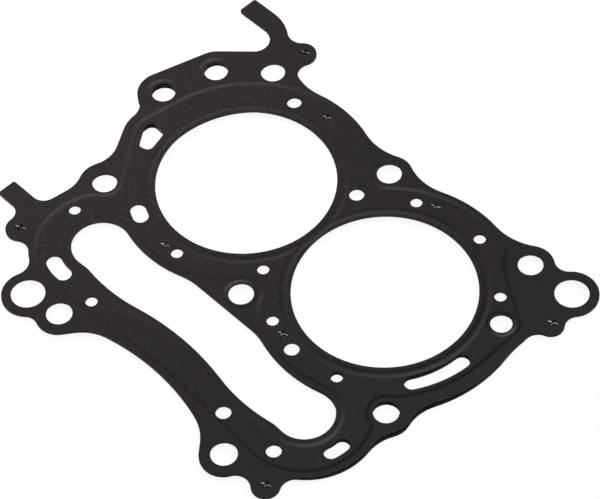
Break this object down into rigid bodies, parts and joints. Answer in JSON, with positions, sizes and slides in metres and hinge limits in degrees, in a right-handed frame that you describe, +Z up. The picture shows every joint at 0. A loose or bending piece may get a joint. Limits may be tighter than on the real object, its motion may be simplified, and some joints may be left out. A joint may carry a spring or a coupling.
{
  "type": "cylinder head gasket",
  "caption": "Flat multi-layer steel cylinder head gasket with two bore openings, beads, a long chain tunnel, bolt holes, coolant holes and two locating tabs.",
  "frame": {"origin": "axis of the left cylinder bore, on the underside of the top sheet beside the bores", "axes": "+X from the left bore to the right bore, +Z up towards the cylinder head, -Y towards the chain tunnel"},
  "size_m": [0.2378, 0.2012, 0.0039],
  "materials": {
    "coated_sheet": "satin black fluoro-rubber coating on spring steel",
    "core_sheet": "plain rolled steel, dull"
  },
  "bodies": {
    "root": {"top_layer": "coated_sheet", "middle_layer": "core_sheet", "bottom_layer": "coated_sheet"}
  },
  "joints": []
}
